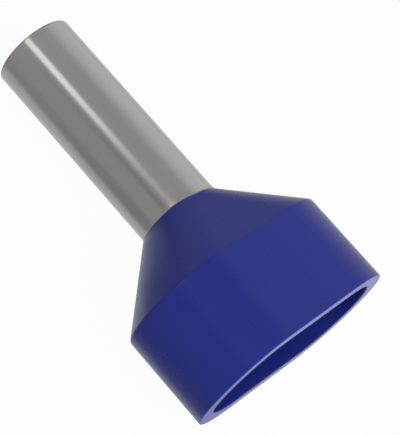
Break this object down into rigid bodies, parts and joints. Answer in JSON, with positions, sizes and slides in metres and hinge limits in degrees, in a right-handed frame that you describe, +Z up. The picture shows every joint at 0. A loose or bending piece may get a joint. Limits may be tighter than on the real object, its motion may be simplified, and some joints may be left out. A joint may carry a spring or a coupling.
{
  "type": "wire ferrule",
  "caption": "Thin metal sleeve held in a moulded oval collar, crimped over the bared ends of wires to make one solid pin for a terminal.",
  "frame": {"origin": "middle of the underside: centre of the outline's length and width, on the surface that the ferrule lies on", "axes": "+X along the ferrule towards the sleeve's tip, which dips by 6.1 degrees as the ferrule lies; +Y across the wide way of the oval collar; +Z up"},
  "size_m": [0.0166, 0.01, 0.0065],
  "materials": {
    "tinned_copper": "satin tin plate",
    "blue_plastic": "smooth moulded polypropylene"
  },
  "bodies": {
    "root": {"sleeve": "tinned_copper", "collar": "blue_plastic"}
  },
  "joints": []
}
